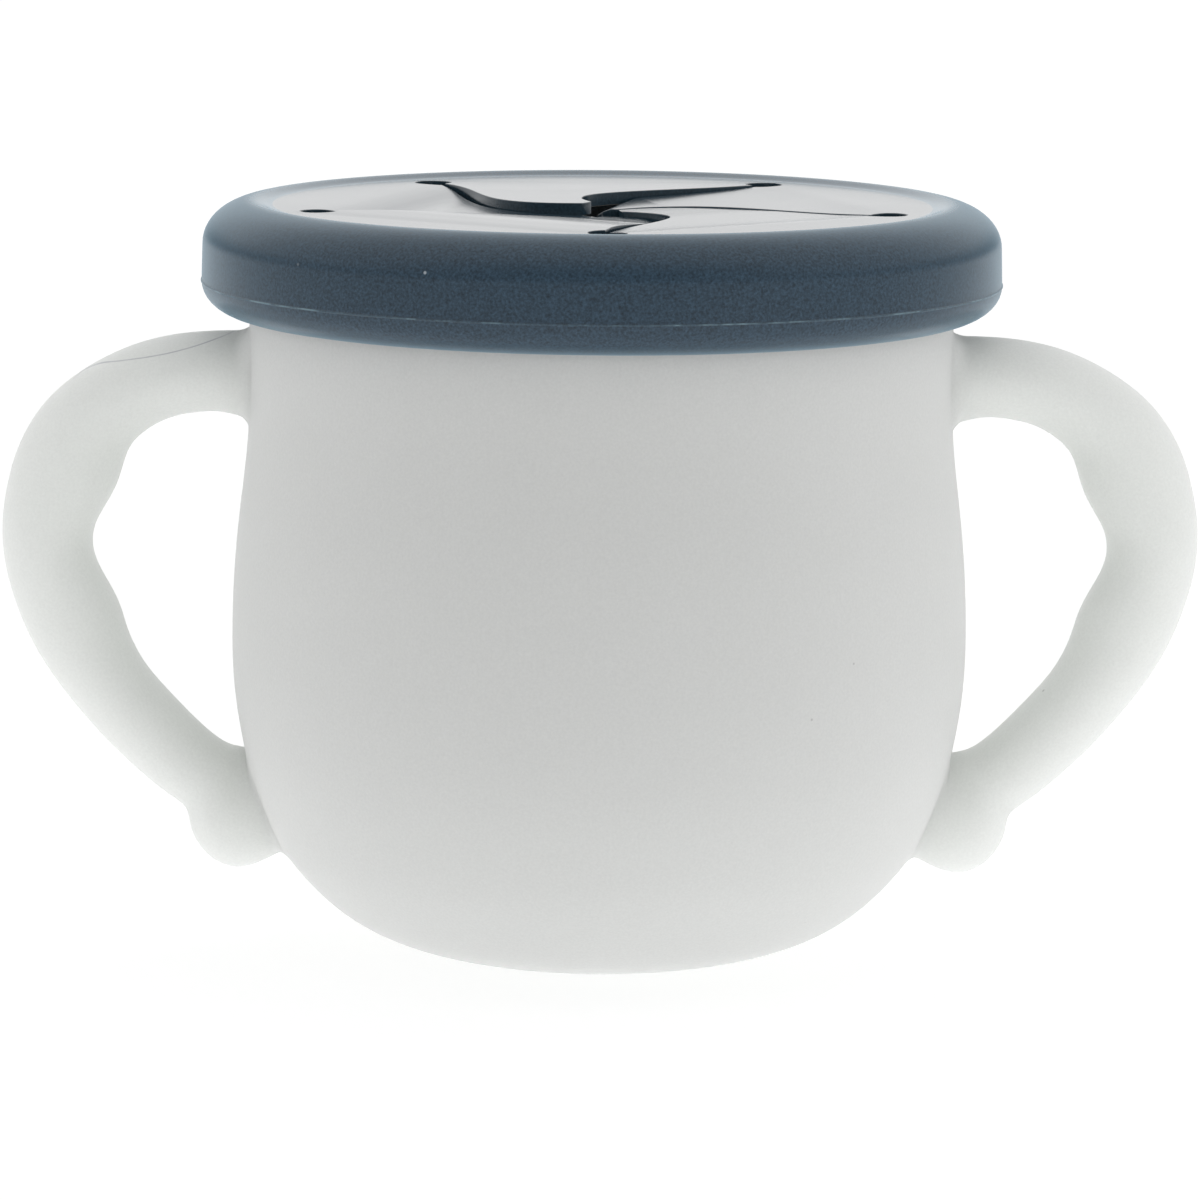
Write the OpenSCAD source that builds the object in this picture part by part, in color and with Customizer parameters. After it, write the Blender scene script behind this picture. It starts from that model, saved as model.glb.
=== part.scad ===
// Toddler snack cup in soft silicone: a round-bellied cup with two finger handles,
// and a push-on lid whose thin membrane is slit into five flaps for a small hand.
// Millimetres. Z is up, X runs from handle to handle, and the origin is the middle of the base.

/* [Cup] */
// Height of the rim above the base
cup_h = 84; // [78:0.5:96]
// Radius of the belly where it is widest
belly_r = 43.2; // [42.5:0.1:50]
// Height of the widest part of the belly
belly_z = 35.3; // [32:0.1:42]
// How much narrower the straight neck is than the belly, on each side
neck_in = 2.2; // [0.5:0.1:5]
// Height at which the neck begins to run straight
neck_z = 66; // [60:0.5:72]
// Radius of the long curve between the belly and the base corner
flank_arc = 54.4; // [50:0.1:70]
// Radius of the round corner at the base
base_arc = 21.6; // [12:0.1:24]
// Share of the shoulder that swells outwards before it hollows into the neck
swell_share = 0.62; // [0.3:0.01:0.8]
// Thickness of the wall
wall = 2.5; // [1.8:0.1:3.2]
// Thickness of the floor
floor_t = 3.5; // [2.5:0.1:6]

/* [Lid] */
// Clearance between the lid and the cup's wall, inside and outside
fit_gap = 0.3; // [0.2:0.05:0.5]
// Width of the fat rim that hugs the neck
rim_w = 5.2; // [3.5:0.1:7]
// Height of the lid, from its lower edge to its crest
lid_h = 13.1; // [11:0.1:16]
// Height of the crest above the cup's rim
crest_h = 3.5; // [3.2:0.1:5]
// Height of the rounding under the rim
lip_round = 3.75; // [2:0.05:5]
// Width of the rounding over the rim
crown_w = 6.4; // [4:0.1:7]
// Height of the rounding over the rim
crown_h = 5; // [3:0.1:6]
// Draft of the rim's side, from the parting line up to the crown
rim_draft = 0.25; // [0:0.05:0.6]
// Width of the slope from the crest down to the membrane
well_w = 1.8; // [1:0.1:2.5]
// Depth of the membrane below the crest
membrane_drop = 0.7; // [0.4:0.05:1]
// Thickness of the membrane
membrane_t = 1.5; // [1.4:0.1:2]
// Thickness of the ring that plugs the cup's mouth
plug_t = 1.6; // [1:0.1:2.5]
// Depth to which the plug ring reaches below the cup's rim
plug_h = 5; // [3:0.5:8]

/* [Flaps] */
// Diameter of the round hole that ends each slit
hole_d = 4.4; // [3:0.1:4.6]
// Distance from the plug ring to the middle of each hole
hole_inset = 2.4; // [2.4:0.1:5]
// Width of each slit
slit_w = 0.8; // [0.5:0.05:1.2]
// Angle at which a slit leaves the middle, off the line to its own hole
slit_lean = 74; // [40:1:80]
// Pull of that first direction on the slit's curve
slit_swing = 17.6; // [8:0.1:22]
// Pull of the straight run into the hole
slit_run = 14; // [4:0.1:18]
// Direction of the first slit, turned from X towards Y
first_slit = 55; // [0:0.5:71.5]
// Gap round the root of each flap, where it folds
fold_gap = 0.35; // [0.3:0.05:0.6]

/* [Handles] */
// Reach of each handle beyond the belly
handle_reach = 26.8; // [22:0.1:34]
// Gap between the lid's lower edge and the top of the handle
handle_drop = 2.2; // [1:0.1:6]
// Height of the bottom of the handle above the base
handle_foot = 7.8; // [6:0.1:12]
// Thickness of the handle from front to back
handle_depth = 11.4; // [9:0.1:14]
// Thickness of the rounded lower end from front to back
knob_depth = 12; // [9:0.1:14]

/* [Hidden] */

$fn = 128;
cup_colour = [0.76, 0.77, 0.76];
lid_colour = [0.25, 0.32, 0.37];
margin = 1;            // overshoot of every cutting shape
arc_steps = 12;        // points along each rounding of the lid's section

// Cup: the flank's arc runs into the base corner along one ray, the swell into the hollow along another.
neck_r = belly_r - neck_in;
flank_mid_r = belly_r - flank_arc;
base_ray = asin((belly_z - base_arc) / (flank_arc - base_arc));
corner_r = flank_mid_r + (flank_arc - base_arc) * cos(base_ray);
shoulder_ray = 2 * atan(neck_in / (neck_z - belly_z));
shoulder_arc = (neck_z - belly_z) / sin(shoulder_ray);
swell_arc = shoulder_arc * swell_share;
hollow_arc = shoulder_arc - swell_arc;
wide = belly_r + handle_reach;   // wider than any section of the cup

// Lid: the cup's rim stands in the channel between the lip and the plug ring.
crest_z = cup_h + crest_h;
lid_z = crest_z - lid_h;
lip_r = neck_r + fit_gap;
lid_r = lip_r + rim_w;
crest_r = lid_r - crown_w;
plug_r = neck_r - wall - fit_gap;
plug_bore_r = plug_r - plug_t;
plug_z = cup_h - plug_h;
membrane_z = crest_z - membrane_drop;

// Flaps: each folds along the straight line between two neighbouring holes.
flap_count = 5;
flap_turn = 360 / flap_count;
hole_ring_r = plug_bore_r - hole_inset;
fold_r = hole_ring_r * cos(flap_turn / 2);
fold_l = 2 * hole_ring_r * sin(flap_turn / 2);
fold_z = membrane_z - membrane_t / 2;
slit_steps = 22;
slit_start = 0.03;     // share of the slit's curve at which two neighbouring slits part

// Handle: height runs from its foot to its top, and a ring of points goes round it at each station.
handle_top = lid_z - handle_drop;
handle_sides = 16;
handle_steps = 2;      // rings from one station to the next

// Stations of the handle from its upper to its lower root. Each gives a point of the outer edge and
// one of the finger side, as shares of the reach beyond the belly and of the height above the foot,
// and how far the arm has widened into its rounded end.
handle_stations = [
    [[-0.080, 0.997], [-0.070, 0.834], 0],
    [[0.100, 0.990], [0.060, 0.850], 0],
    [[0.240, 0.985], [0.170, 0.846], 0],
    [[0.390, 0.971], [0.270, 0.837], 0],
    [[0.540, 0.944], [0.345, 0.821], 0],
    [[0.680, 0.908], [0.400, 0.804], 0],
    [[0.795, 0.864], [0.437, 0.788], 0],
    [[0.880, 0.813], [0.462, 0.768], 0],
    [[0.938, 0.762], [0.487, 0.740], 0],
    [[0.975, 0.712], [0.516, 0.708], 0],
    [[0.992, 0.674], [0.556, 0.675], 0],
    [[0.999, 0.643], [0.597, 0.645], 0],
    [[0.999, 0.612], [0.617, 0.612], 0],
    [[0.994, 0.582], [0.605, 0.578], 0],
    [[0.982, 0.551], [0.566, 0.545], 0],
    [[0.960, 0.516], [0.518, 0.512], 0],
    [[0.929, 0.476], [0.486, 0.480], 0],
    [[0.886, 0.433], [0.466, 0.447], 0],
    [[0.828, 0.388], [0.434, 0.413], 0],
    [[0.750, 0.340], [0.386, 0.378], 0],
    [[0.655, 0.290], [0.321, 0.345], 0],
    [[0.550, 0.240], [0.240, 0.309], 0],
    [[0.440, 0.196], [0.155, 0.272], 0],
    [[0.335, 0.158], [0.085, 0.246], 0.1],
    [[0.262, 0.128], [0.040, 0.234], 0.3],
    [[0.228, 0.104], [0.020, 0.231], 0.7],
    [[0.215, 0.076], [0.005, 0.229], 1],
    [[0.170, 0.036], [-0.010, 0.228], 1],
    [[0.088, 0.008], [-0.025, 0.227], 1],
    [[-0.005, -0.001], [-0.040, 0.226], 1],
    [[-0.120, 0.016], [-0.052, 0.225], 1],
    [[-0.210, 0.033], [-0.060, 0.225], 1],
];
handle_last = len(handle_stations) - 1;

// Radius of the cup's outer surface at a height
function cup_r(z) =
    z < base_arc - base_arc * sin(base_ray) ? corner_r + sqrt(base_arc ^ 2 - (base_arc - z) ^ 2)
    : z < belly_z ? flank_mid_r + sqrt(flank_arc ^ 2 - (belly_z - z) ^ 2)
    : z < belly_z + swell_arc * sin(shoulder_ray) ? belly_r - swell_arc + sqrt(swell_arc ^ 2 - (z - belly_z) ^ 2)
    : z < neck_z ? neck_r + hollow_arc - sqrt(hollow_arc ^ 2 - (neck_z - z) ^ 2)
    : neck_r;

// A stretch of an oval round a middle point, without its first point
function rounding(mid, across, up, from, to) = [
    for (k = [1 : arc_steps])
        let (a = from + (to - from) * k / arc_steps) mid + [across * cos(a), up * sin(a)]
];

// A point of the slit's curve, from the middle of the lid out to its hole, which lies on X
function slit_point(t) =
    3 * t * (1 - t) ^ 2 * slit_swing * [cos(slit_lean), sin(slit_lean)]
    + (3 * t ^ 2 * (1 - t) * (hole_ring_r - slit_run) + t ^ 3 * hole_ring_r) * [1, 0];

// A point of one bank of the slit: side is 1 on its left and -1 on its right
function slit_bank(t, side) =
    let (ahead = slit_point(t + 0.001) - slit_point(t - 0.001))
    slit_point(t) + side * slit_w / 2 * [-ahead.y, ahead.x] / norm(ahead);

function turned(p, a) = [p.x * cos(a) - p.y * sin(a), p.x * sin(a) + p.y * cos(a)];

// Plan of one flap, between a slit on X and the next one, open to just past its fold line
function flap_plan() = concat(
    [for (k = [0 : slit_steps]) slit_bank(slit_start + (1 - slit_start) * k / slit_steps, 1)],
    [for (k = [slit_steps : -1 : 0])
        turned(slit_bank(slit_start + (1 - slit_start) * k / slit_steps, -1), flap_turn)]
);

// A smooth curve through a list of points: u counts stations
function along(points, u) =
    let (i = min(floor(u), len(points) - 2), t = u - i,
         b = points[i], c = points[i + 1],
         a = i > 0 ? points[i - 1] : 2 * b - c,
         d = i < len(points) - 2 ? points[i + 2] : 2 * c - b)
    b + t / 2 * (c - a + t * (2 * a - 5 * b + 4 * c - d + t * (3 * b - a - 3 * c + d)));

function handle_place(share) = [belly_r + share.x * handle_reach, handle_foot + share.y * (handle_top - handle_foot)];
function station_line(part, u) = along([for (station = handle_stations) station[part]], u);

// The ring of points round the handle at a station, swollen or shrunk about its middle
function handle_ring(u, size = 1) =
    let (edge = handle_place(station_line(0, u)), finger = handle_place(station_line(1, u)),
         mid = (edge + finger) / 2, half = (edge - finger) / 2 * size,
         half_depth = (handle_depth + (knob_depth - handle_depth) * station_line(2, u)) / 2 * size)
    [for (k = [0 : handle_sides - 1])
        let (a = 360 * k / handle_sides)
        [mid.x + half.x * cos(a), half_depth * sin(a), mid.y + half.y * cos(a)]];

// Points moved level along X until they lie on the cup
function on_cup(points) = [for (p = points) [sqrt(cup_r(p.z) ^ 2 - p.y ^ 2), p.y, p.z]];

// Half section of the cup between two heights, inset from its outer surface
module cup_half(inset, low, high) {
    base_turn = belly_z - (flank_arc - inset) * sin(base_ray);
    shoulder_turn = belly_z + (swell_arc - inset) * sin(shoulder_ray);
    intersection() {
        translate([0, low]) square([wide, high - low]);
        union() {
            strip(0, base_turn) {
                translate([corner_r, base_arc]) circle(base_arc - inset);
                translate([0, inset]) square([corner_r, base_arc - inset]);
            }
            strip(base_turn, belly_z)
                translate([flank_mid_r, belly_z]) circle(flank_arc - inset);
            strip(belly_z, shoulder_turn)
                translate([belly_r - swell_arc, belly_z]) circle(swell_arc - inset);
            strip(shoulder_turn, neck_z) difference() {
                square([neck_r + hollow_arc, neck_z]);
                translate([neck_r + hollow_arc, neck_z]) circle(hollow_arc + inset);
            }
            translate([0, neck_z]) square([neck_r - inset, cup_h + margin - neck_z]);
        }
    }
}

// The part of its children that lies between two heights, on the outer side of the axis
module strip(low, high) {
    intersection() {
        translate([0, low]) square([wide, high - low]);
        union() children();
    }
}

module cup_body() {
    color(cup_colour)
    rotate_extrude() difference() {
        cup_half(0, 0, cup_h);
        cup_half(wall, floor_t, cup_h + margin);
    }
}

// A handle on the side of +X, moulded against the cup's outer surface
module handle() {
    count = handle_last * handle_steps;
    rings = concat(
        [on_cup(handle_ring(0, 0.01)), on_cup(handle_ring(0, 0.5)), on_cup(handle_ring(0))],
        [for (k = [1 : count - 1]) handle_ring(k / handle_steps)],
        [on_cup(handle_ring(handle_last)), on_cup(handle_ring(handle_last, 0.5)),
         on_cup(handle_ring(handle_last, 0.01))]
    );
    n = handle_sides;
    faces = concat(
        [[for (k = [0 : n - 1]) k]],
        [for (r = [0 : len(rings) - 2], k = [0 : n - 1])
            let (a = r * n + k, b = r * n + (k + 1) % n) each [[a, a + n, b], [b, a + n, b + n]]],
        [[for (k = [n - 1 : -1 : 0]) (len(rings) - 1) * n + k]]
    );
    polyhedron([for (ring = rings) each ring], faces);
}

module handle_right() {
    color(cup_colour) handle();
}

module handle_left() {
    color(cup_colour) mirror([1, 0, 0]) handle();
}

// Half section of the lid's rim, from its outer edge in to the bore of the plug ring
module rim_half() {
    polygon(concat(
        [[lip_r, lid_z]],
        rounding([lip_r, lid_z + lip_round], rim_w, lip_round, -90, 0),
        [[lid_r - rim_draft, crest_z - crown_h]],
        rounding([crest_r, crest_z - crown_h], crown_w - rim_draft, crown_h, 0, 90),
        rounding([crest_r, membrane_z], well_w, membrane_drop, 90, 180),
        [[plug_bore_r, membrane_z], [plug_bore_r, plug_z], [plug_r, plug_z]],
        [[plug_r, cup_h], [lip_r, cup_h]]
    ));
}

// Places its children round the lid, from the first slit or a turn after it
module around(offset = 0) {
    for (k = [0 : flap_count - 1]) rotate(first_slit + offset + k * flap_turn) children();
}

// A round bar along a fold line that crosses X
module fold_bar(radius) {
    translate([fold_r, fold_l / 2, fold_z]) rotate([90, 0, 0]) cylinder(r = radius, h = fold_l);
}

// The flat between the folds and the plug ring, with the holes that end the slits
module membrane_plan() {
    difference() {
        circle(r = plug_bore_r + plug_t / 2);
        rotate(first_slit) circle(r = hole_ring_r, $fn = flap_count);
        around() translate([hole_ring_r, 0]) circle(d = hole_d);
    }
}

module lid_ring() {
    color(lid_colour)
    difference() {
        union() {
            rotate_extrude() rim_half();
            translate([0, 0, membrane_z - membrane_t]) linear_extrude(membrane_t) membrane_plan();
        }
        around(flap_turn / 2) fold_bar(membrane_t / 2 + fold_gap);
    }
}

// A pin through the flaps at the first slit's hole
module hole_pin() {
    translate([hole_ring_r, 0, fold_z - membrane_t]) cylinder(d = hole_d, h = 2 * membrane_t);
}

// Flap number 1 lies between the first and the second slit, and the others follow anticlockwise
module lid_flap(number) {
    color(lid_colour)
    rotate(first_slit + (number - 1) * flap_turn)
    difference() {
        union() {
            translate([0, 0, membrane_z - membrane_t]) linear_extrude(membrane_t) intersection() {
                polygon(flap_plan());
                circle(r = hole_ring_r, $fn = flap_count);
            }
            rotate(flap_turn / 2) fold_bar(membrane_t / 2);
        }
        hole_pin();
        rotate(flap_turn) hole_pin();
    }
}

cup_body();
handle_left();
handle_right();
lid_ring();
lid_flap(1);  // lid_flap_1
lid_flap(2);  // lid_flap_2
lid_flap(3);  // lid_flap_3
lid_flap(4);  // lid_flap_4
lid_flap(5);  // lid_flap_5
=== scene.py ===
"""Toddler snack cup in soft silicone: a round-bellied cup with two finger handles, and a
push-on lid whose thin membrane is slit into five flaps. Metres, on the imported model's frame."""

from math import asin, atan, atan2, cos, degrees, radians, sin, sqrt, tan

import bpy
from mathutils import Matrix, Vector


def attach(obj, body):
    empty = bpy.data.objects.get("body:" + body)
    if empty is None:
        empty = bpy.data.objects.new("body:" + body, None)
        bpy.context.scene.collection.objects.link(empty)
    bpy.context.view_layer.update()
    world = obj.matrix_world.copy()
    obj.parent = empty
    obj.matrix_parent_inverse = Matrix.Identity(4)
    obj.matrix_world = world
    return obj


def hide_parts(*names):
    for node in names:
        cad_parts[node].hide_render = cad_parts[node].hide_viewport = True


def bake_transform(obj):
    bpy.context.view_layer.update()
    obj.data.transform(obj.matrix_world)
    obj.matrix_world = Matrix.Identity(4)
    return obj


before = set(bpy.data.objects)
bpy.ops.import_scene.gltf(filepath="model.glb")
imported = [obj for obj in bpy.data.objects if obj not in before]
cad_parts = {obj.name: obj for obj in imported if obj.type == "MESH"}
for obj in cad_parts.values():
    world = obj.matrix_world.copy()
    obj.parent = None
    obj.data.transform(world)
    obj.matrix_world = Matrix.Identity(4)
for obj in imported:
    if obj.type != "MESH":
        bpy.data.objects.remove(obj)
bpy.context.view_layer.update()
MM = 0.001

# ---------------------------------------------------------------- camera
scene = bpy.context.scene
camera = bpy.data.objects.new("camera", bpy.data.cameras.new("camera"))
scene.collection.objects.link(camera)
scene.camera = camera
camera.data.sensor_width = 36
camera.data.lens = 152.2
camera.data.shift_x = 0.0006
camera.data.shift_y = 0.0065
camera.data.clip_start = 0.01
camera.data.clip_end = 20
camera.location = (0, -588.9 * MM, 141.1 * MM)
LOOKS_DOWN = radians(9.80)
LEANS = 0.008
tilt = Matrix.Rotation(radians(90) - LOOKS_DOWN, 3, "X") @ Matrix.Rotation(LEANS, 3, "Z")
camera.rotation_euler = tilt.to_euler()

# ---------------------------------------------------------------- sizes
CUP_H, BELLY_R, BELLY_Z = 84 * MM, 43.2 * MM, 35.3 * MM
NECK_R, NECK_Z = 41 * MM, 66 * MM
FLANK_ARC, BASE_ARC, SWELL_SHARE = 54.4 * MM, 21.6 * MM, 0.62
WALL, FLOOR_T = 2.5 * MM, 3.5 * MM
LIP_R, LID_R, LID_Z, CREST_Z = 41.3 * MM, 46.5 * MM, 74.4 * MM, 87.5 * MM
MEMBRANE_T, MEMBRANE_Z, MEMBRANE_R = 1.5 * MM, 86.95 * MM, 38.3 * MM
PLUG_R, PLUG_BORE_R, PLUG_Z = 38.2 * MM, 36.6 * MM, 79 * MM
HOLE_R, HOLE_RING_R = 2.2 * MM, 34.2 * MM
FOLD_R = HOLE_RING_R * cos(radians(36))
FIRST_SLIT = 55
HANDLE_REACH, HANDLE_FOOT, HANDLE_TOP = 26.8 * MM, 7.8 * MM, 72.2 * MM
HANDLE_DEPTH, KNOB_DEPTH = 11.4 * MM, 12 * MM

# The same arcs as the cup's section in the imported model
FLANK_MID = BELLY_R - FLANK_ARC
BASE_RAY = asin((BELLY_Z - BASE_ARC) / (FLANK_ARC - BASE_ARC))
CORNER_R = FLANK_MID + (FLANK_ARC - BASE_ARC) * cos(BASE_RAY)
SHOULDER_RAY = 2 * atan((BELLY_R - NECK_R) / (NECK_Z - BELLY_Z))
SHOULDER_ARC = (NECK_Z - BELLY_Z) / sin(SHOULDER_RAY)
SWELL_ARC = SHOULDER_ARC * SWELL_SHARE
HOLLOW_ARC = SHOULDER_ARC - SWELL_ARC


def wall_r(z, inset=0.0):
    """Radius of the cup's wall at a height, on its outside or at an inset from it."""
    base_turn = BELLY_Z - (FLANK_ARC - inset) * sin(BASE_RAY)
    shoulder_turn = BELLY_Z + (SWELL_ARC - inset) * sin(SHOULDER_RAY)
    if z < base_turn:
        return CORNER_R + sqrt(max(0, (BASE_ARC - inset) ** 2 - (BASE_ARC - z) ** 2))
    if z < BELLY_Z:
        return FLANK_MID + sqrt((FLANK_ARC - inset) ** 2 - (BELLY_Z - z) ** 2)
    if z < shoulder_turn:
        return BELLY_R - SWELL_ARC + sqrt((SWELL_ARC - inset) ** 2 - (z - BELLY_Z) ** 2)
    if z < NECK_Z:
        return NECK_R + HOLLOW_ARC - sqrt((HOLLOW_ARC + inset) ** 2 - (NECK_Z - z) ** 2)
    return NECK_R - inset


def oval(mid_r, mid_z, across, up, start, end, steps):
    """Points along an oval corner, from one angle to another."""
    turns = [radians(start + (end - start) * k / steps) for k in range(steps + 1)]
    return [(mid_r + across * cos(a), mid_z + up * sin(a)) for a in turns]


def smooth_line(points, u):
    """A smooth curve through a list of equal-length tuples, where u counts the points."""
    i = min(int(u), len(points) - 2)
    t = u - i
    b, c = points[i], points[i + 1]
    a = points[i - 1] if i > 0 else [2 * p - q for p, q in zip(b, c)]
    d = points[i + 2] if i < len(points) - 2 else [2 * q - p for p, q in zip(b, c)]
    return [
        q + t / 2 * (r - p + t * (2 * p - 5 * q + 4 * r - s + t * (3 * q - p - 3 * r + s)))
        for p, q, r, s in zip(a, b, c, d)
    ]


# ---------------------------------------------------------------- hand tools
def deselect_all():
    bpy.ops.object.select_all(action="DESELECT")


def edit():
    bpy.ops.object.mode_set(mode="EDIT")


def leave():
    bpy.ops.object.mode_set(mode="OBJECT")


def choose(piece):
    """Makes a piece the one that the next operator works on, and the only one."""
    deselect_all()
    piece.select_set(True)
    bpy.context.view_layer.objects.active = piece


def edit_all():
    """Opens the active piece in edit mode with all of it selected."""
    edit()
    bpy.ops.mesh.select_mode(type="VERT")
    bpy.ops.mesh.select_all(action="SELECT")


def pick(verts=None, edges=None, faces=None):
    """In edit mode, selects what passes a test of its place, and nothing else."""
    kind = "VERT" if verts else "EDGE" if edges else "FACE"
    bpy.ops.mesh.select_mode(type=kind)
    bpy.ops.mesh.select_all(action="DESELECT")
    leave()
    mesh = bpy.context.object.data
    if verts:
        for v in mesh.vertices:
            v.select = bool(verts(v.co))
    if edges:
        co = mesh.vertices
        for e in mesh.edges:
            e.select = bool(edges(co[e.vertices[0]].co, co[e.vertices[1]].co))
    if faces:
        for f in mesh.polygons:
            f.select = bool(faces(f.center, f.normal))
    edit()


def pick_open_edges(test):
    """In edit mode, selects the open edges whose middle passes a test."""
    bpy.ops.mesh.select_mode(type="EDGE")
    bpy.ops.mesh.select_all(action="DESELECT")
    bpy.ops.mesh.select_non_manifold(
        use_wire=False, use_multi_face=False, use_non_contiguous=False, use_verts=False
    )
    leave()
    mesh = bpy.context.object.data
    for e in mesh.edges:
        middle = (mesh.vertices[e.vertices[0]].co + mesh.vertices[e.vertices[1]].co) / 2
        if not (e.select and test(middle)):
            e.select = False
    for v in mesh.vertices:
        v.select = False
    edit()


def named(name):
    """Names the piece that was just added, and its mesh."""
    piece = bpy.context.object
    piece.name = name
    piece.data.name = name
    return piece


def pull_ring(width, height):
    """Extrudes the selected ring: width is its new size as a share of the old, height a step up."""
    bpy.ops.mesh.extrude_region_move(TRANSFORM_OT_translate={"value": (0, 0, height)})
    bpy.ops.transform.resize(value=(width, width, 1), center_override=(0, 0, 0))


def turned_piece(name, points, sides, turn=0.0, closed=False):
    """A turned piece: a ring of points pulled along a half section of (radius, height)."""
    deselect_all()
    bpy.ops.mesh.primitive_circle_add(
        vertices=sides, radius=points[0][0], location=(0, 0, points[0][1]), rotation=(0, 0, turn)
    )
    piece = named(name)
    bpy.ops.object.transform_apply(location=True, rotation=True, scale=True)
    edit_all()
    for (r0, z0), (r1, z1) in zip(points, points[1:] + (points[:1] if closed else [])):
        pull_ring(r1 / r0, z1 - z0)
    if closed:
        bpy.ops.mesh.select_all(action="SELECT")
        bpy.ops.mesh.remove_doubles(threshold=0.01 * MM)
    return piece


def point_outwards(piece):
    """Turns all faces of a closed piece to look outwards."""
    choose(piece)
    edit_all()
    bpy.ops.mesh.normals_make_consistent(inside=False)
    leave()


def finish_with(piece, kind, **settings):
    """Adds a modifier and applies it at once."""
    choose(piece)
    modifier = piece.modifiers.new(kind.lower(), kind)
    for key, value in settings.items():
        setattr(modifier, key, value)
    bpy.ops.object.modifier_apply(modifier=modifier.name)


def smooth(piece, angle):
    choose(piece)
    bpy.ops.object.shade_smooth_by_angle(angle=radians(angle))


# ---------------------------------------------------------------- cup and handles
CUP_SIDES = 80
ROOT_HALF_ANGLE = 2 * 360 / CUP_SIDES  # a handle's root is four facets of the cup wide
TOP_ROOT = (61.3 * MM, 72.3 * MM)
LOW_ROOT = (10.2 * MM, 23.0 * MM)
ROOT_CREASE = 0.45


def between(low, high, steps):
    """Evenly spaced values after the first, up to the last."""
    return [low + (high - low) * k / steps for k in range(1, steps + 1)]


def cup_section():
    """Half section of the cup, from the middle of its base round over the rim to its floor."""
    outside = [(CORNER_R * 0.5, 0), (CORNER_R * 0.94, 0)]
    outside += [
        (CORNER_R + BASE_ARC * sin(radians(a)), BASE_ARC - BASE_ARC * cos(radians(a)))
        for a in (4, 20, 38)
    ]
    heights = [LOW_ROOT[0]] + between(*LOW_ROOT, 4) + between(LOW_ROOT[1], TOP_ROOT[0], 10)
    heights += between(*TOP_ROOT, 4) + [76 * MM, 79 * MM, 82.2 * MM]
    outside += [(wall_r(z), z) for z in heights]
    edge = WALL / 2
    rim = oval(NECK_R - edge, CUP_H - edge, edge * 1.04, edge * 1.04, 0, 180, 6)
    inner_heights = [82 * MM, 78 * MM, 72 * MM] + between(66 * MM, 25 * MM, 9)
    inside = [(wall_r(z, WALL), z) for z in inner_heights]
    arc = BASE_ARC - WALL
    inside += [
        (CORNER_R + arc * sin(radians(a)), BASE_ARC - arc * cos(radians(a))) for a in (80, 62, 44)
    ]
    floor = [
        (CORNER_R + arc * sin(radians(31)), FLOOR_T + 0.9 * MM),
        (CORNER_R + 5.5 * MM, FLOOR_T + 0.12 * MM),
        (CORNER_R, FLOOR_T),
        (CORNER_R * 0.5, FLOOR_T),
    ]
    return outside + rim + inside + floor


# Stations of the handle from its upper to its lower root: a point of the outer edge and one of the
# finger side, as shares of the reach beyond the belly and of the height above the foot, and how far
# the arm has widened into its rounded end.
HANDLE_STATIONS = [
    (-0.045, 0.995, -0.045, 0.840, 0.0),
    (0.002, 0.995, -0.006, 0.843, 0.0),
    (0.100, 0.994, 0.060, 0.850, 0.0),
    (0.240, 0.989, 0.170, 0.846, 0.0),
    (0.398, 0.974, 0.270, 0.837, 0.0),
    (0.550, 0.947, 0.345, 0.821, 0.0),
    (0.692, 0.911, 0.400, 0.804, 0.0),
    (0.810, 0.868, 0.437, 0.788, 0.0),
    (0.896, 0.816, 0.462, 0.768, 0.0),
    (0.952, 0.764, 0.481, 0.740, 0.0),
    (0.983, 0.712, 0.506, 0.708, 0.0),
    (1.000, 0.674, 0.552, 0.675, 0.0),
    (1.007, 0.643, 0.597, 0.645, 0.0),
    (1.007, 0.612, 0.617, 0.612, 0.0),
    (1.002, 0.582, 0.605, 0.578, 0.0),
    (0.990, 0.551, 0.566, 0.545, 0.0),
    (0.968, 0.516, 0.518, 0.512, 0.0),
    (0.937, 0.476, 0.486, 0.480, 0.0),
    (0.894, 0.433, 0.466, 0.447, 0.0),
    (0.836, 0.388, 0.434, 0.413, 0.0),
    (0.758, 0.340, 0.386, 0.378, 0.0),
    (0.663, 0.290, 0.321, 0.345, 0.0),
    (0.558, 0.240, 0.240, 0.309, 0.0),
    (0.448, 0.196, 0.155, 0.272, 0.0),
    (0.344, 0.157, 0.085, 0.246, 0.1),
    (0.262, 0.133, 0.045, 0.235, 0.3),
    (0.214, 0.119, 0.025, 0.231, 0.6),
    (0.196, 0.104, 0.012, 0.229, 0.9),
    (0.189, 0.072, 0.000, 0.228, 1.0),
    (0.146, 0.039, -0.015, 0.227, 1.0),
    (0.089, 0.015, -0.027, 0.226, 1.0),
    (0.007, 0.000, -0.037, 0.225, 1.0),
    (-0.075, 0.004, -0.046, 0.225, 1.0),
    (-0.150, 0.018, -0.053, 0.224, 1.0),
    (-0.200, 0.030, -0.058, 0.223, 1.0),
]
ARM_SIDES = 16
ARM_SWELL = 1.026  # the subdivided arm draws in by this much from its rings


def arm_ring(u):
    """Middle, tilt and half sizes of the handle's oval at a station."""
    ox, oz, fx, fz, knob = smooth_line(HANDLE_STATIONS, u)
    high = HANDLE_TOP - HANDLE_FOOT
    outer = Vector((BELLY_R + ox * HANDLE_REACH, 0, HANDLE_FOOT + oz * high))
    finger = Vector((BELLY_R + fx * HANDLE_REACH, 0, HANDLE_FOOT + fz * high))
    half = (outer - finger) / 2
    depth = (HANDLE_DEPTH + (KNOB_DEPTH - HANDLE_DEPTH) * knob) / 2
    return (outer + finger) / 2, atan2(half.z, half.x), half.length * ARM_SWELL, depth * ARM_SWELL


def turn_ring(angle, middle):
    """Tips the selected ring up about Y: with no window the operator turns the other way."""
    bpy.ops.transform.rotate(value=angle, orient_axis="Y", center_override=middle)


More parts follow.
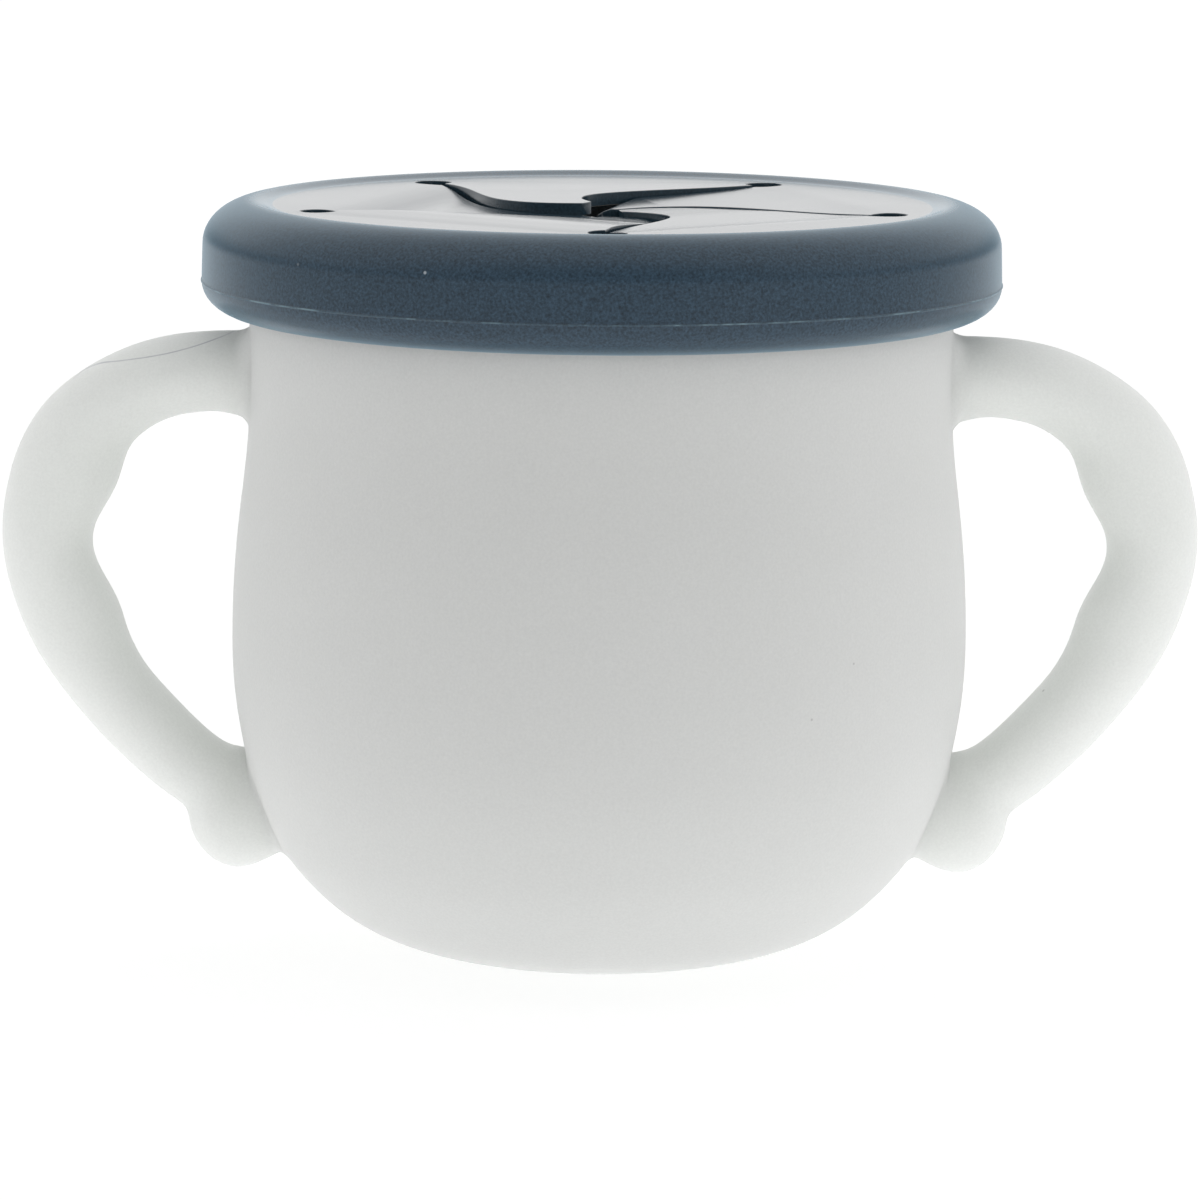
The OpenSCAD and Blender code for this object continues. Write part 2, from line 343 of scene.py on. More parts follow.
def make_arm(name):
    """One open handle on the side of +X: an oval ring drawn through all the stations."""
    steps = range(len(HANDLE_STATIONS))
    middle, tilt_now, length, depth = arm_ring(steps[0])
    deselect_all()
    bpy.ops.mesh.primitive_circle_add(vertices=ARM_SIDES, radius=1, location=middle)
    arm = named(name)
    arm.scale = (length, depth, 1)
    bpy.ops.object.transform_apply(location=True, rotation=True, scale=True)
    edit_all()
    turn_ring(tilt_now, middle)
    for u in steps[1:]:
        new_middle, new_tilt, new_length, new_depth = arm_ring(u)
        bpy.ops.mesh.extrude_region_move()
        turn_ring(-tilt_now, middle)
        bpy.ops.transform.resize(
            value=(new_length / length, new_depth / depth, 1), center_override=middle
        )
        turn_ring(new_tilt, middle)
        bpy.ops.transform.translate(value=new_middle - middle)
        middle, tilt_now, length, depth = new_middle, new_tilt, new_length, new_depth
    leave()
    return arm


def angle_from_handles(place):
    """Angle about the cup's axis, in degrees, from the nearer handle."""
    return abs(degrees(atan2(place.y, abs(place.x))))


def at_root(center, root):
    """On the outside of the wall, where an arm joins it."""
    outer = center.xy.length > wall_r(center.z, WALL / 2)
    return outer and angle_from_handles(center) < ROOT_HALF_ANGLE and root[0] < center.z < root[1]


def on_root_edge(co):
    """On the edge of one of the four places where the arms join the cup."""
    on_wall = abs(co.xy.length - wall_r(co.z)) < 0.05 * MM
    level = any(low - 0.01 * MM < co.z < high + 0.01 * MM for low, high in (TOP_ROOT, LOW_ROOT))
    return on_wall and angle_from_handles(co) < ROOT_HALF_ANGLE + 0.1 and level


def make_cup():
    """The cup, with both handles joined to four holes in its wall so that they grow out of it."""
    cup = turned_piece("snack_cup", cup_section(), CUP_SIDES)
    bpy.ops.mesh.merge(type="CENTER")
    pick(verts=lambda co: co.z < 0.001 * MM and co.xy.length < CORNER_R * 0.51)
    bpy.ops.mesh.edge_face_add()
    bpy.ops.mesh.poke()
    for root in (TOP_ROOT, LOW_ROOT):
        pick(faces=lambda c, n: at_root(c, root))
        bpy.ops.mesh.delete(type="FACE")
    leave()
    right = make_arm("arm_right")
    left = make_arm("arm_left")
    choose(left)
    edit_all()
    bpy.ops.transform.mirror(constraint_axis=(True, False, False), center_override=(0, 0, 0))
    leave()
    deselect_all()
    for piece in (right, left, cup):
        piece.select_set(True)
    bpy.context.view_layer.objects.active = cup
    bpy.ops.object.join()
    edit()
    for side in (1, -1):
        for low, high in (TOP_ROOT, LOW_ROOT):
            # the edge of the hole in the cup, and the arm's open end beside it
            pick_open_edges(lambda c: c.x * side > 0 and low - 3 * MM < c.z < high + 3 * MM)
            bpy.ops.mesh.bridge_edge_loops()
    # the corner where an arm meets the wall stays fairly crisp
    pick(edges=lambda a, b: on_root_edge(a) and on_root_edge(b))
    bpy.ops.transform.edge_crease(value=ROOT_CREASE)
    leave()
    point_outwards(cup)
    finish_with(cup, "SUBSURF", levels=2, render_levels=2)
    smooth(cup, 60)
    return cup


cup = make_cup()


# ---------------------------------------------------------------- lid
RIM_SIDES = 240
SEAM_Z, SEAM_PROUD = 78.2 * MM, 0.10 * MM
SEAM_FOOT, SEAM_FLAT = 0.16 * MM, 0.05 * MM
SOFT = 0.3 * MM  # how far the corners of the skirt and the plug ring are broken


def lid_section():
    """Closed half section of the lid's rim: its lip, its crown and the ring that plugs the cup."""
    lip = oval(LIP_R + SOFT, LID_Z + 3.75 * MM, 4.9 * MM, 3.75 * MM, -90, 0, 10)
    seam = [
        (LID_R, SEAM_Z - SEAM_FOOT), (LID_R + SEAM_PROUD, SEAM_Z - SEAM_FLAT),
        (LID_R + SEAM_PROUD, SEAM_Z + SEAM_FLAT), (LID_R, SEAM_Z + SEAM_FOOT),
    ]
    crown = oval(40.1 * MM, CREST_Z - 5 * MM, 6.28 * MM, 5 * MM, 0, 84, 13)
    # a soft slope from the crown down to the membrane
    top_r, top_z = crown[-1]
    slope = []
    for k in range(1, 9):
        u = k / 8
        fall = u * u * (3 - 2 * u)
        slope.append((top_r + (MEMBRANE_R - top_r) * u, top_z + (MEMBRANE_Z - top_z) * fall))
    under = MEMBRANE_Z - MEMBRANE_T
    ledge = [(MEMBRANE_R, under), (PLUG_BORE_R, under)]
    plug = [
        (PLUG_BORE_R, PLUG_Z + SOFT), (PLUG_BORE_R + SOFT, PLUG_Z),
        (PLUG_R - SOFT, PLUG_Z), (PLUG_R, PLUG_Z + SOFT),
    ]
    channel = [(PLUG_R, CUP_H), (LIP_R, CUP_H), (LIP_R, LID_Z + SOFT)]
    return lip[:-1] + seam + crown + slope + ledge + plug + channel


def make_lid_rim():
    rim = turned_piece("lid_rim", lid_section(), RIM_SIDES, turn=radians(FIRST_SLIT), closed=True)
    leave()
    point_outwards(rim)
    smooth(rim, 35)
    return rim


# ---------------------------------------------------------------- membrane with its flaps
# A slit leaves the lid's middle with this lean and swing and runs out into its hole. The edges of two
# flaps follow it from SLIT_START to SLIT_END, which are shares of it.
SLIT_W, SLIT_LEAN, SLIT_SWING, SLIT_RUN = 0.45 * MM, radians(64), 18.4 * MM, 14 * MM
SLIT_START, SLIT_END, SLIT_STEPS = 0.05, 0.945, 34
HALF_TURN = 36  # half of a petal's share of the lid, in degrees
EDGE_ROUND = 0.22 * MM
ROW = 0.8 * MM  # between the rows of points across a flap, which are counted from its fold
CUT_ROWS, BENT_ROWS = range(-4, 38), range(-4, 36)
TIP_DEPTH, CURL_STEPS = 0.6 * MM, 3  # about how deep a tip hangs before it curls, and its bends


def turned_point(x, y, angle):
    """A point of the plan, turned about the lid's axis by an angle in degrees."""
    a = radians(angle)
    return (x * cos(a) - y * sin(a), x * sin(a) + y * cos(a))


def slit_point(t):
    """A point in the middle of the slit that ends on X, from 0 at the lid's axis to 1 in the hole."""
    x = 3 * t * (1 - t) ** 2 * SLIT_SWING * cos(SLIT_LEAN)
    x += 3 * t**2 * (1 - t) * (HOLE_RING_R - SLIT_RUN) + t**3 * HOLE_RING_R
    return x, 3 * t * (1 - t) ** 2 * SLIT_SWING * sin(SLIT_LEAN)


def slit_bank(t, side):
    """A point of one bank of the slit that ends on X: side is 1 on its left, -1 on its right."""
    (x, y), (x0, y0), (x1, y1) = slit_point(t), slit_point(t - 0.001), slit_point(t + 0.001)
    long = sqrt((x1 - x0) ** 2 + (y1 - y0) ** 2)
    half = side * SLIT_W / 2
    return x - half * (y1 - y0) / long, y + half * (x1 - x0) / long


def petal_outline():
    """Plan of one fifth of the membrane, its middle on X: rim arc, hole, slit, slit, hole."""
    sides = RIM_SIDES // 5
    turns = [-HALF_TURN + 2 * HALF_TURN * k / sides for k in range(sides + 1)]
    rim = [turned_point(MEMBRANE_R, 0, turn) for turn in turns]
    mouth = degrees(asin(SLIT_W / 2 / HOLE_R))

    def hole(angle, start, end, steps=14):
        cx, cy = turned_point(HOLE_RING_R, 0, angle)
        turns = [radians(angle + start + (end - start) * k / steps) for k in range(steps + 1)]
        return [(cx + HOLE_R * cos(a), cy + HOLE_R * sin(a)) for a in turns]

    shares = [
        SLIT_START + (SLIT_END - SLIT_START) * (k / SLIT_STEPS) ** 1.25
        for k in range(SLIT_STEPS + 1)
    ]
    shares = [t for t in shares if slit_point(t)[0] < HOLE_RING_R - HOLE_R - 0.4 * MM]
    near = [turned_point(*slit_bank(t, -1), HALF_TURN) for t in reversed(shares)]
    far = [turned_point(*slit_bank(t, 1), -HALF_TURN) for t in shares]
    # the tip is blunt, with rounded corners
    (x0, y0), (x1, y1) = near[-1], far[0]
    tip = [
        (x0 + (x1 - x0) * u - 0.35 * MM * bow, y0 + (y1 - y0) * u)
        for u, bow in ((0.12, 0.6), (0.3, 0.95), (0.5, 1), (0.7, 0.95), (0.88, 0.6))
    ]
    holes = hole(HALF_TURN, 0, -180 + mouth), hole(-HALF_TURN, 180 - mouth, 0)
    return rim + holes[0] + near + tip + far + holes[1]


def make_petal(name):
    """A level petal of the membrane, its middle on X, with rows across it so that it can bend."""
    points = petal_outline()
    deselect_all()
    bpy.ops.mesh.primitive_plane_add(size=MM, location=(*points[0], MEMBRANE_Z))
    petal = named(name)
    bpy.ops.object.transform_apply(location=True, rotation=True, scale=True)
    edit_all()
    bpy.ops.mesh.merge(type="CENTER")
    for (x0, y0), (x1, y1) in zip(points, points[1:]):
        bpy.ops.mesh.extrude_vertices_move(
            TRANSFORM_OT_translate={"value": (x1 - x0, y1 - y0, 0)}
        )
    bpy.ops.mesh.select_all(action="SELECT")
    bpy.ops.mesh.edge_face_add()
    bpy.ops.mesh.extrude_region_move(TRANSFORM_OT_translate={"value": (0, 0, -MEMBRANE_T)})
    leave()
    point_outwards(petal)
    edit()
    # the free edges of slits and holes are softly rounded above and below
    pick(edges=on_free_edge)
    bpy.ops.mesh.bevel(offset=EDGE_ROUND, segments=2, affect="EDGES", clamp_overlap=True)
    for row in CUT_ROWS:
        cut_along_y(FOLD_R - row * ROW)
    leave()
    return petal


def on_free_edge(a, b):
    """Between two points on the top or the underside, at a slit or a hole."""
    free_r = HOLE_RING_R + HOLE_R - 0.02 * MM
    return abs(a.z - b.z) < 0.1 * MM and a.xy.length < free_r and b.xy.length < free_r


def cut_along_y(x):
    """In edit mode, cuts a line of new points through the whole piece at one x."""
    bpy.ops.mesh.select_all(action="SELECT")
    bpy.ops.mesh.bisect(plane_co=(x, 0, 0), plane_no=(1, 0, 0))


def sag_at(drops, reach):
    """Depth in mm at a distance in mm from the fold, on straight runs between the listed points."""
    for (d0, h0), (d1, h1) in zip(drops, drops[1:]):
        if reach < d1:
            return h0 + (h1 - h0) * max(0, (reach - d0) / (d1 - d0))
    return drops[-1][1]


def bend_down(petal, drops):
    """Lets the flap sink row by row, hinged at each row, following its sag."""
    choose(petal)
    edit()
    depth, slope = 0.0, 0.0
    for row in BENT_ROWS:
        reach, step = row * ROW / MM, ROW / MM
        new_slope = atan2(sag_at(drops, reach + 2 * step) - sag_at(drops, reach - step), 3 * step)
        edge = FOLD_R - row * ROW
        pick(verts=lambda co: co.x < edge - 0.1 * MM)
        bpy.ops.transform.rotate(
            value=new_slope - slope, orient_axis="Y", center_override=(edge, 0, MEMBRANE_Z - depth)
        )
        slope = new_slope
        depth += ROW * tan(slope)
    leave()


def turn_about_axis(piece, angle):
    """Turns a whole piece about the lid's axis: with no window the operator turns the other way."""
    choose(piece)
    edit_all()
    bpy.ops.transform.rotate(value=-radians(angle), orient_axis="Z", center_override=(0, 0, 0))
    leave()


def curl(flap, heading, offset, side, angle):
    """Curls down the part of a flap beyond a straight line, in small steps."""
    turn_about_axis(flap, 90 - heading)
    edit()
    depth = TIP_DEPTH
    for k in range(CURL_STEPS):
        edge = offset + side * k * ROW
        cut_along_y(edge)
        pick(verts=lambda co: side * (co.x - edge) > 0.05 * MM)
        bpy.ops.transform.rotate(
            value=-side * radians(angle / CURL_STEPS), orient_axis="Y",
            center_override=(edge, 0, MEMBRANE_Z - depth),
        )
        depth += ROW * tan(radians(angle * (k + 1) / CURL_STEPS))
    leave()
    turn_about_axis(flap, heading - 90)


# How each flap hangs in use: (distance from the fold, depth) in mm, from the fold to the tip
FLAP_SAG = {
    1: [(-3, 0), (4, -0.09), (10, -0.14), (30, -0.15)],
    2: [(-1, 0), (1, 0.06), (3.5, 0.36), (6, 0.9), (8, 1.05), (16, 0.97), (21, 1.1), (30, 1.35)],
    3: [(-3, 0), (0, -0.11), (5, -0.15), (8, -0.05), (15, 0.37), (21, 0.9), (30, 1.45)],
    4: [(-1, 0), (2, 0.18), (5, 0.3), (10, 0.37), (14, 0.42), (20, 0.6), (30, 0.8)],
    5: [(-1, 0), (2, 0.14), (5, 0.25), (10, 0.37), (14, 0.51), (18, 0.63), (30, 0.79)],
}
# Hooked tips that curl down further: the line's heading in plan, its offset, its side and the angle
FLAP_CURL = {3: (90, 4.3 * MM, 1, 18), 5: (77, 0.5 * MM, -1, 48)}


def make_flaps():
    """Five copies of the petal, each let down by its own sag and turned to its place."""
    pattern = make_petal("petal_pattern")
    flaps = []
    for number, drops in FLAP_SAG.items():
        flap = pattern.copy()
        flap.data = pattern.data.copy()
        flap.name = flap.data.name = f"lid_membrane_{number}"
        scene.collection.objects.link(flap)
        bend_down(flap, drops)
        angle = FIRST_SLIT + HALF_TURN + (number - 1) * 2 * HALF_TURN
        turn_about_axis(flap, angle)
        if number in FLAP_CURL:
            curl(flap, *FLAP_CURL[number])
        smooth(flap, 20)
        flaps.append((flap, number, angle))
    bpy.data.objects.remove(pattern)
    return flaps


lid_rim = make_lid_rim()
flaps = make_flaps()


# ---------------------------------------------------------------- finishes
def new_group(name, inputs, outputs):
    """An empty node group with named sockets; inputs and outputs map a name to (type, default)."""
    group = bpy.data.node_groups.new(name, "ShaderNodeTree")
    for sockets, way in ((inputs, "INPUT"), (outputs, "OUTPUT")):
        for label, (kind, value) in sockets.items():
            socket = group.interface.new_socket(label, in_out=way, socket_type="NodeSocket" + kind)
            if value is not None:
                socket.default_value = value
    return group, group.nodes.new("NodeGroupInput"), group.nodes.new("NodeGroupOutput")


class Wiring:
    """Short hand for adding and joining the nodes of one tree."""

    def __init__(self, tree):
        self.tree = tree

    def add(self, kind, **settings):
        node = self.tree.nodes.new("ShaderNode" + kind)
        for key, value in settings.items():
            if key in node.inputs:
                self.put(node.inputs[key], value)
            else:
                setattr(node, key, value)
        return node

    def put(self, socket, value):
        if isinstance(value, bpy.types.NodeSocket):
            self.tree.links.new(value, socket)
        else:
            socket.default_value = value

    def math(self, operation, a, b=0.0, clamp=False):
        node = self.add("Math", operation=operation, use_clamp=clamp)
        self.put(node.inputs[0], a)
        self.put(node.inputs[1], b)
        return node.outputs[0]

    def blend_colours(self, share, a, b, kind="MIX"):
        node = self.add("Mix", data_type="RGBA", blend_type=kind)
        self.put(node.inputs[0], share)
        self.put(node.inputs[6], a)
        self.put(node.inputs[7], b)
        return node.outputs[2]

    def noise(self, where, scale, detail=2.0, roughness=0.5):
        node = self.add("TexNoise", Vector=where, Scale=scale, Detail=detail, Roughness=roughness)
        return node.outputs[0]

    def around_half(self, value, strength):
        """What a noise adds or takes away, at a strength."""
        return self.math("MULTIPLY", self.math("SUBTRACT", value, 0.5), strength)

    def fade(self, value, low, high, to_low=0.0, to_high=1.0):
        node = self.add("MapRange", interpolation_type="SMOOTHSTEP")
        for socket, given in zip(node.inputs, (value, low, high, to_low, to_high)):
            self.put(socket, given)
        return node.outputs[0]


def silicone_skin_group():
    """Grain, faint clouding and the specks of dust that silicone gathers."""
    group, given, made = new_group(
        "silicone skin",
        {
            "Colour": ("Color", (0.5, 0.5, 0.5, 1)), "Speck Colour": ("Color", (0.8, 0.8, 0.8, 1)),
            "Grain": ("Float", 0.04), "Clouding": ("Float", 0.04), "Specks": ("Float", 0.5),
            "Roughness": ("Float", 0.5),
        },
        {"Colour": ("Color", None), "Roughness": ("Float", None), "Height": ("Float", None)},
    )
    w = Wiring(group)
    place = w.add("TexCoord").outputs["Object"]
    grain = w.noise(place, 3200, 2.0, 0.6)
    fine = w.noise(place, 7500, 1.0)
    cloud = w.noise(place, 38, 3.0, 0.55)
    lift = w.around_half(grain, given.outputs["Grain"])
    lift = w.math("ADD", lift, w.around_half(cloud, given.outputs["Clouding"]))
    brightness = w.math("ADD", lift, 1.0)
    tone = w.add("CombineXYZ", X=brightness, Y=brightness, Z=brightness).outputs[0]
    toned = w.blend_colours(1.0, given.outputs["Colour"], tone, "MULTIPLY")
    cell = w.add("TexVoronoi", Vector=place, Scale=210.0, Randomness=1.0)
    chosen = w.fade(w.add("SeparateColor", Color=cell.outputs["Color"]).outputs[0], 0.955, 0.965)
    dot = w.fade(cell.outputs["Distance"], 0.022, 0.05, 1.0, 0.0)
    speck = w.math("MULTIPLY", w.math("MULTIPLY", chosen, dot), given.outputs["Specks"], clamp=True)
    w.put(made.inputs["Colour"], w.blend_colours(speck, toned, given.outputs["Speck Colour"]))
    rough = w.math("ADD", w.around_half(cloud, 0.10), w.math("MULTIPLY", speck, 0.2))
    w.put(made.inputs["Roughness"], w.math("ADD", given.outputs["Roughness"], rough, clamp=True))
    height = w.math("ADD", w.math("MULTIPLY", grain, 0.6), w.math("MULTIPLY", fine, 0.4))
    w.put(made.inputs["Height"], w.math("ADD", height, w.math("MULTIPLY", speck, 1.5)))
    return group


def moulding_line_group():
    """A broken pale line left by the mould around the lid, drawn where the height is right."""
    group, given, made = new_group(
        "moulding line",
        {
            "Colour": ("Color", (0.5, 0.5, 0.5, 1)), "Line Colour": ("Color", (0.8, 0.8, 0.8, 1)),
            "Height": ("Float", 0.0), "Half Width": ("Float", 0.0001),
        },
        {"Colour": ("Color", None)},
    )
    w = Wiring(group)
    place = w.add("TexCoord").outputs["Object"]
    z = w.add("SeparateXYZ", Vector=place).outputs["Z"]
    away = w.math("ABSOLUTE", w.math("SUBTRACT", z, given.outputs["Height"]))
    line = w.fade(w.math("DIVIDE", away, given.outputs["Half Width"]), 0.5, 1.0, 1.0, 0.0)
    strength = w.fade(w.noise(place, 160, 4.0, 0.75), 0.42, 0.62, 0.12, 1.0)
    share = w.math("MULTIPLY", line, strength)
    lined = w.blend_colours(share, given.outputs["Colour"], given.outputs["Line Colour"])
    w.put(made.inputs["Colour"], lined)
    return group


# A thin grey line painted over the front of the left handle: how far out from the middle it starts,
# how far it runs, the height that its path is measured from and the span of the path; then the path
# itself, as shares of the run and of that span
GREY_LINE_START, GREY_LINE_RUN, GREY_LINE_Z, GREY_LINE_SPAN = 44 * MM, 18 * MM, 65.05 * MM, 7 * MM
GREY_LINE_PATH = [(0.01, 0.91), (0.28, 0.70), (0.46, 0.60), (0.64, 0.52), (0.81, 0.43), (0.99, 0.13)]


def grey_handle_line_group():
    """A thin grey line that wanders over the front of the left handle's top."""
    group, given, made = new_group(
        "parting line",
        {
            "Colour": ("Color", (0.5, 0.5, 0.5, 1)), "Line Colour": ("Color", (0.3, 0.3, 0.3, 1)),
            "Half Width": ("Float", 0.0001),
        },
        {"Colour": ("Color", None)},
    )
    w = Wiring(group)
    place = w.add("TexCoord").outputs["Object"]
    at = w.add("SeparateXYZ", Vector=place)
    x, y, z = (at.outputs[axis] for axis in "XYZ")
    run = w.math("DIVIDE", w.math("SUBTRACT", -GREY_LINE_START, x), GREY_LINE_RUN)
    path = w.add("FloatCurve", Value=run)
    points = path.mapping.curves[0].points
    points[0].location = GREY_LINE_PATH[0]
    points[1].location = GREY_LINE_PATH[-1]
    for u, v in GREY_LINE_PATH[1:-1]:
        points.new(u, v)
    path.mapping.update()
    height = w.math("ADD", w.math("MULTIPLY", path.outputs[0], GREY_LINE_SPAN), GREY_LINE_Z)
    away = w.math("ABSOLUTE", w.math("SUBTRACT", z, height))
    share = w.fade(w.math("DIVIDE", away, given.outputs["Half Width"]), 0.5, 1.0, 1.0, 0.0)
    # only on the front, fading in and out at its ends, and fainter in places
    share = w.math("MULTIPLY", share, w.fade(y, -0.5 * MM, 0.0, 1.0, 0.0))
    for low, high in ((-0.12, -0.02), (1.02, 0.9)):
        share = w.math("MULTIPLY", share, w.fade(run, low, high))
    strength = w.fade(w.noise(place, 160, 3.0, 0.7), 0.35, 0.6, 0.45, 1.0)
    share = w.math("MULTIPLY", share, strength)
    lined = w.blend_colours(share, given.outputs["Colour"], given.outputs["Line Colour"])
    w.put(made.inputs["Colour"], lined)
    return group


# The coat that a polished mould leaves, and how much roughness it takes away
POLISH_COAT, POLISH_GLOSS = 0.5, 0.14


def polished_middle_group():
    """The mould's polish on a lid: how much of it is left at this distance from the lid's axis."""
    group, given, made = new_group(
        "polished middle",
        {
            "Polished Radius": ("Float", 0.04), "Matte Radius": ("Float", 0.045),
            "Roughness": ("Float", 0.3),
        },
        {"Roughness": ("Float", None), "Coat Weight": ("Float", None)},
    )
    w = Wiring(group)
    place = w.add("SeparateXYZ", Vector=w.add("TexCoord").outputs["Object"])
    across = w.math("POWER", place.outputs["X"], 2.0)
    along = w.math("POWER", place.outputs["Y"], 2.0)
    radius = w.math("SQRT", w.math("ADD", across, along))
    inner, outer = given.outputs["Polished Radius"], given.outputs["Matte Radius"]
    polish = w.fade(radius, inner, outer, 1.0, 0.0)
    gloss = w.math("MULTIPLY", polish, POLISH_GLOSS)
    w.put(made.inputs["Coat Weight"], w.math("MULTIPLY", polish, POLISH_COAT))
    w.put(made.inputs["Roughness"], w.math("SUBTRACT", given.outputs["Roughness"], gloss))
    return group


BUMP_DEPTH = 0.02 * MM
SKIN = silicone_skin_group()
LINE = moulding_line_group()
GREY_HANDLE_LINE = grey_handle_line_group()
POLISH = polished_middle_group()


def silicone(
    name, colour, speck_colour, roughness, grain, clouding, specks, relief,
    line_group=None, line=None, polish=None, **shader
):
    """The skin group on a Principled shader, and on some a line drawn on it, or the mould's polish."""
    material = bpy.data.materials.new(name)
    material.use_nodes = True
    w = Wiring(material.node_tree)
    surface = material.node_tree.nodes["Principled BSDF"]
    skin = w.add(
        "Group", node_tree=SKIN, Colour=(*colour, 1), Roughness=roughness, Grain=grain,
        Clouding=clouding, Specks=specks,
    )
    skin.inputs["Speck Colour"].default_value = (*speck_colour, 1)
    bump = w.add("Bump", Height=skin.outputs["Height"], Strength=relief, Distance=BUMP_DEPTH)
    w.put(surface.inputs["Base Color"], skin.outputs["Colour"])
    if line:
        seam = w.add("Group", node_tree=line_group)
        w.put(seam.inputs["Colour"], skin.outputs["Colour"])
        for key, value in line.items():
            seam.inputs[key].default_value = value
        w.put(surface.inputs["Base Color"], seam.outputs["Colour"])
    w.put(surface.inputs["Roughness"], skin.outputs["Roughness"])
    if polish:
        middle = w.add("Group", node_tree=POLISH)
        w.put(middle.inputs["Roughness"], skin.outputs["Roughness"])
        for key, value in polish.items():
            middle.inputs[key].default_value = value
        w.put(surface.inputs["Roughness"], middle.outputs["Roughness"])
        w.put(surface.inputs["Coat Weight"], middle.outputs["Coat Weight"])
    w.put(surface.inputs["Normal"], bump.outputs[0])
    for key, value in shader.items():
        surface.inputs[key.replace("_", " ")].default_value = value
    return material


cup_silicone = silicone(
    "pale grey silicone", colour=(0.742, 0.756, 0.737), speck_colour=(0.30, 0.30, 0.30),
    roughness=0.55, grain=0.14, clouding=0.03, specks=0.5, relief=0.25,
    # a thin grey line painted over the front of the left handle's top
    line_group=GREY_HANDLE_LINE, line={"Line Colour": (0.50, 0.51, 0.53, 1), "Half Width": 0.08 * MM},
    IOR=1.41, Subsurface_Weight=0.9, Subsurface_Radius=(1, 1, 1), Subsurface_Scale=10 * MM,
    Sheen_Weight=0.12, Sheen_Roughness=0.3,
)
lid_silicone = silicone(
    "slate blue silicone", colour=(0.025, 0.048, 0.073), speck_colour=(0.42, 0.46, 0.50),
    roughness=0.30, grain=2.2, clouding=0.2, specks=0.7, relief=0.3,
    line_group=LINE,
    line={"Line Colour": (0.13, 0.21, 0.25, 1), "Height": SEAM_Z, "Half Width": 0.10 * MM},
    polish={"Polished Radius": 39 * MM, "Matte Radius": 42 * MM},
    IOR=1.41, Coat_Roughness=0.14,
    Sheen_Weight=0.3, Sheen_Roughness=0.38, Sheen_Tint=(0.3, 0.72, 1, 1),
)
membrane_silicone = silicone(
    "satin slate silicone", colour=(0.026, 0.050, 0.070), speck_colour=(0.42, 0.46, 0.50),
    roughness=0.16, grain=1.2, clouding=0.12, specks=0.7, relief=0.10,
    IOR=1.41, Coat_Weight=POLISH_COAT, Coat_Roughness=0.14,
)

cup.data.materials.append(cup_silicone)
lid_rim.data.materials.append(lid_silicone)
for flap, _, _ in flaps:
    flap.data.materials.append(membrane_silicone)


# ---------------------------------------------------------------- joints
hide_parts("cup_body", "handle_left", "handle_right")
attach(cup, "cup")
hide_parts("lid_ring")
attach(lid_rim, "lid")
for flap, number, angle in flaps:
    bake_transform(flap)
    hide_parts(f"lid_flap_{number}")


# ---------------------------------------------------------------- studio
PAPER_GLOW, PAPER_LIGHT = 0.62, 0.7  # as it is seen, and as it lights the object


def studio_sheet(name):
    """Paper that looks white but for the object's shadow, and glows to light the object, like a light
    table.
    """
    material = bpy.data.materials.new(name)
    material.use_nodes = True
    tree = material.node_tree
    tree.nodes.clear()
    w = Wiring(tree)
    paper = w.add("BsdfDiffuse", Color=(0.5, 0.5, 0.5, 1))
    lit_paper = tree.nodes.new("ShaderNodeAddShader")
    w.put(lit_paper.inputs[0], paper.outputs[0])
    w.put(lit_paper.inputs[1], w.add("Emission", Color=(1, 1, 1, 1), Strength=PAPER_LIGHT).outputs[0])
    seen_paper = tree.nodes.new("ShaderNodeAddShader")
    w.put(seen_paper.inputs[0], paper.outputs[0])
    w.put(seen_paper.inputs[1], w.add("Emission", Color=(1, 1, 1, 1), Strength=PAPER_GLOW).outputs[0])
    path = w.add("LightPath")
    seen = w.math("MAXIMUM", path.outputs["Is Camera Ray"], path.outputs["Is Glossy Ray"])
    seen = w.math("MAXIMUM", seen, path.outputs["Is Transmission Ray"])
    choice = tree.nodes.new("ShaderNodeMixShader")
    w.put(choice.inputs[0], seen)
    w.put(choice.inputs[1], lit_paper.outputs[0])
    w.put(choice.inputs[2], seen_paper.outputs[0])
    out = tree.nodes.new("ShaderNodeOutputMaterial")
    w.put(out.inputs[0], choice.outputs[0])
    return material


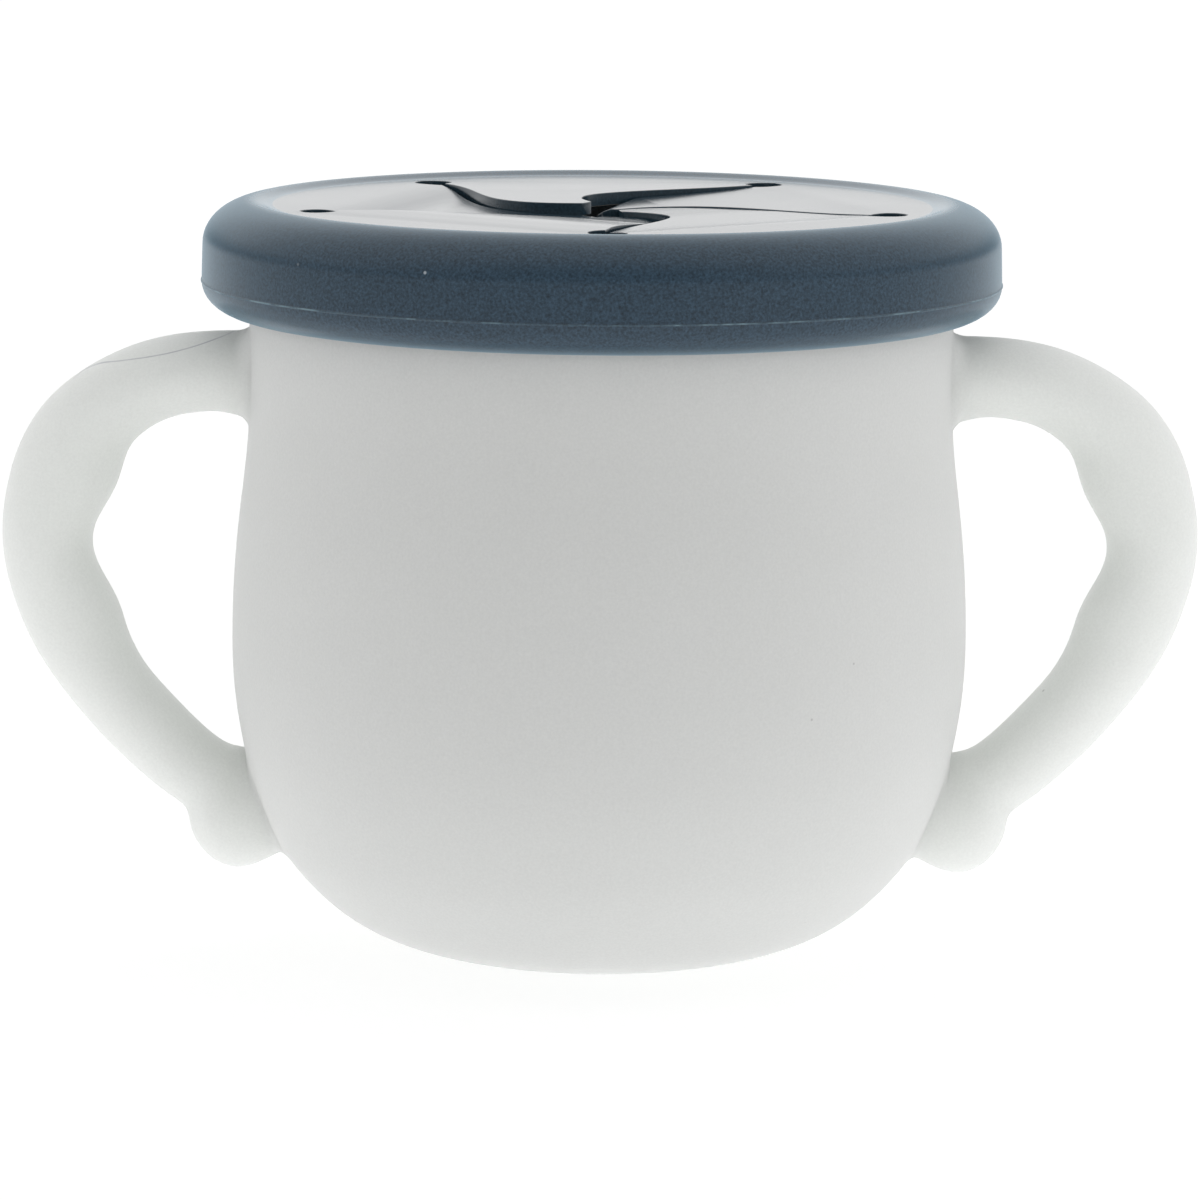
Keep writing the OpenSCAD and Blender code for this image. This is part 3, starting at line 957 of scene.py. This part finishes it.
deselect_all()
bpy.ops.mesh.primitive_plane_add(size=6, location=(0, 0, 0))
floor = named("studio_floor")
bpy.ops.object.transform_apply(location=True, rotation=True, scale=True)
floor.data.materials.append(studio_sheet("studio paper"))

world = bpy.data.worlds.new("studio air")
scene.world = world
world.use_nodes = True
air = Wiring(world.node_tree)
sky = world.node_tree.nodes["Background"]
path = air.add("LightPath")
seen = air.math("MAXIMUM", path.outputs["Is Camera Ray"], path.outputs["Is Transmission Ray"])
# the room is much dimmer on the side that the cup faces
way = air.add("SeparateXYZ", Vector=air.add("TexCoord").outputs["Generated"])
aside = air.math("ABSOLUTE", way.outputs["X"])
glow = air.fade(way.outputs["Y"], -0.97, -0.1, 0.2, 1.0)
# what shines back off the silicone is the white backdrop, which ends to the left and right
beside = air.fade(aside, 0.2, 0.5, 0.0, 0.75)
beside = air.math("MULTIPLY", beside, air.fade(way.outputs["Z"], 0.03, 0.3, 1.0, 0.0))
lost = air.math("MULTIPLY", beside, path.outputs["Is Glossy Ray"])
glow = air.math("MULTIPLY", glow, air.math("SUBTRACT", 1.0, lost))
# and the far left and right of the room are a little dimmer for all light
glow = air.math("MULTIPLY", glow, air.fade(aside, 0.6, 0.95, 1.0, 0.82))
air.put(sky.inputs["Strength"], air.math("MAXIMUM", glow, seen))
sky.inputs["Color"].default_value = (1, 1, 1, 1)


BELLY = Vector((0, 0, 45 * MM))


def softbox(name, place, power):
    """A lamp with a white front that lights the belly of the cup and isn't mirrored in it."""
    light = bpy.data.lights.new(name, "AREA")
    light.shape = "RECTANGLE"
    light.size = 0.25
    light.size_y = 0.3
    light.energy = power
    lamp = bpy.data.objects.new(name, light)
    scene.collection.objects.link(lamp)
    lamp.location = place
    lamp.rotation_euler = (BELLY - Vector(place)).to_track_quat("-Z", "Y").to_euler()
    lamp.visible_glossy = False


softbox("left softbox", (-0.3, -0.36, 0.08), 0.14)
softbox("right softbox", (0.3, -0.36, 0.08), 0.35)

scene.view_settings.view_transform = "Standard"
